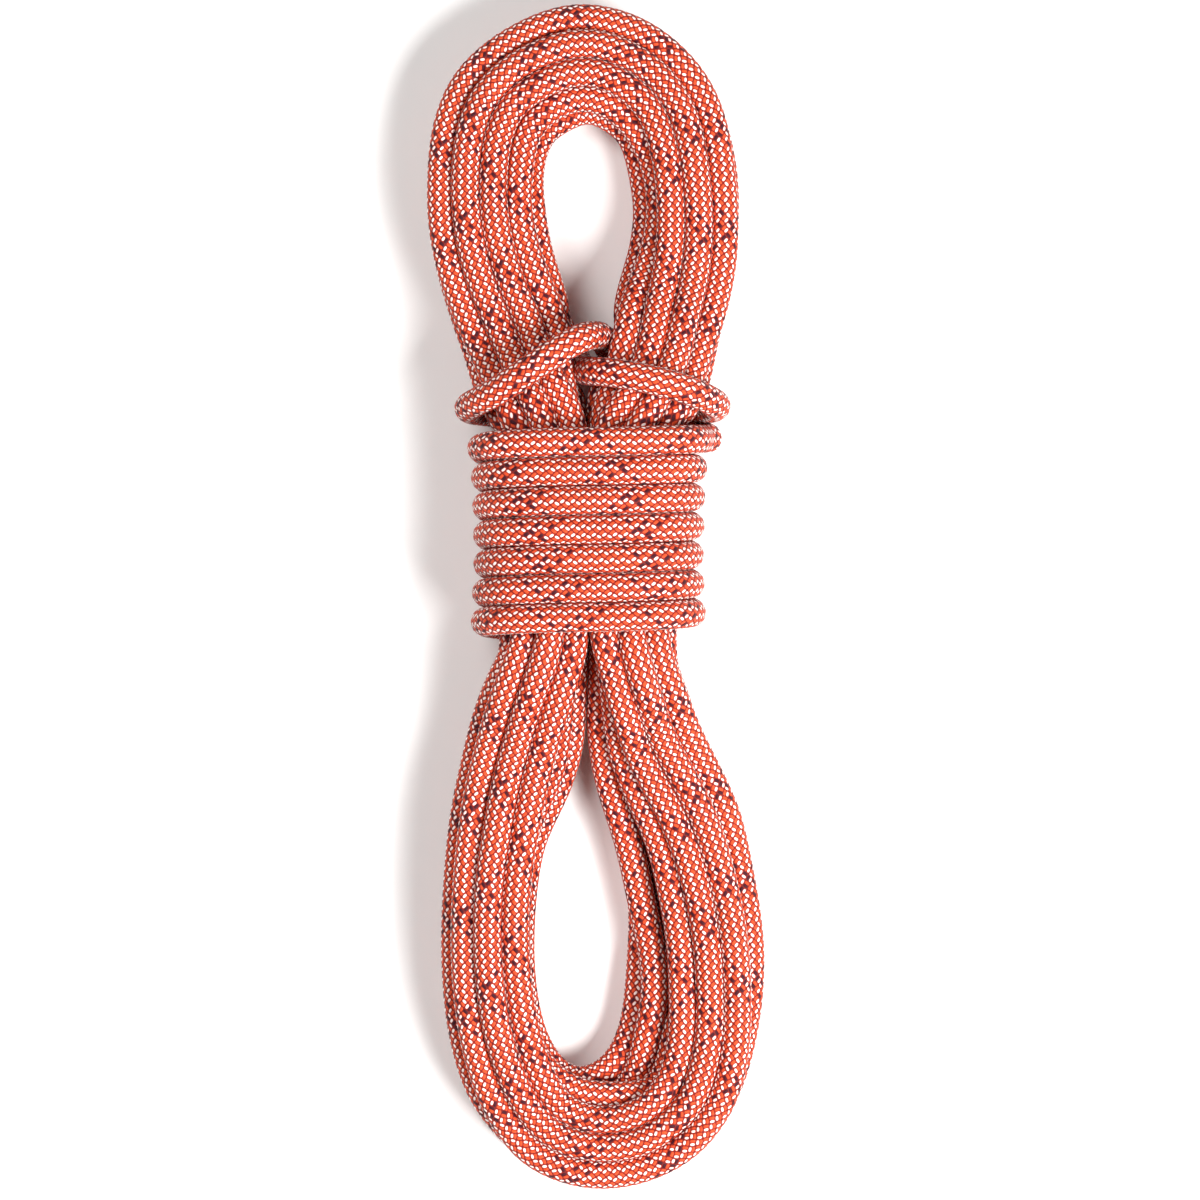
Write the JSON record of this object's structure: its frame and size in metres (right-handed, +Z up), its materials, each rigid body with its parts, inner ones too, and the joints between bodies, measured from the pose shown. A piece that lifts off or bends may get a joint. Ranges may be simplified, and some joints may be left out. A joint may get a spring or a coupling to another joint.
{
  "type": "dynamic climbing rope",
  "caption": "Round braided kernmantle climbing rope put up as a flat hank: long laps pinched by wraps at the waist and finished with a hitch through the upper eye.",
  "frame": {"origin": "on the surface that the hank lies on, under the middle of its box", "axes": "+Y along the hank from the lower loop to the upper loop, +X across it to the right, +Z up out of the front of the hank"},
  "size_m": [0.1161, 0.4091, 0.0645],
  "materials": {
    "rope_sheath": "braided orange-red and off-white polyamide sheath with dark maroon tracer yarns",
    "core_yarn": "undyed twisted polyamide core strands",
    "fused_tip": "yarn ends melted together by a hot knife",
    "shrink_sleeve": "satin black heat-shrink sleeve, plain"
  },
  "bodies": {
    "root": {"hank_laps": "rope_sheath", "waist_wraps": "rope_sheath", "finishing_hitch": "rope_sheath", "working_end_sheath": "rope_sheath", "working_end_core_strand_01": "core_yarn", "working_end_core_strand_02": "core_yarn", "working_end_core_strand_03": "core_yarn", "working_end_core_strand_04": "core_yarn", "working_end_core_strand_05": "core_yarn", "working_end_core_strand_06": "core_yarn", "working_end_core_strand_07": "core_yarn", "working_end_core_strand_08": "core_yarn", "working_end_core_strand_09": "core_yarn", "working_end_core_strand_10": "core_yarn", "working_end_core_strand_11": "core_yarn", "working_end_core_strand_12": "core_yarn", "working_end_fused_tip": "fused_tip", "working_end_sleeve": "shrink_sleeve", "standing_end_sheath": "rope_sheath", "standing_end_core_strand_01": "core_yarn", "standing_end_core_strand_02": "core_yarn", "standing_end_core_strand_03": "core_yarn", "standing_end_core_strand_04": "core_yarn", "standing_end_core_strand_05": "core_yarn", "standing_end_core_strand_06": "core_yarn", "standing_end_core_strand_07": "core_yarn", "standing_end_core_strand_08": "core_yarn", "standing_end_core_strand_09": "core_yarn", "standing_end_core_strand_10": "core_yarn", "standing_end_core_strand_11": "core_yarn", "standing_end_core_strand_12": "core_yarn", "standing_end_fused_tip": "fused_tip", "standing_end_sleeve": "shrink_sleeve"}
  },
  "joints": []
}
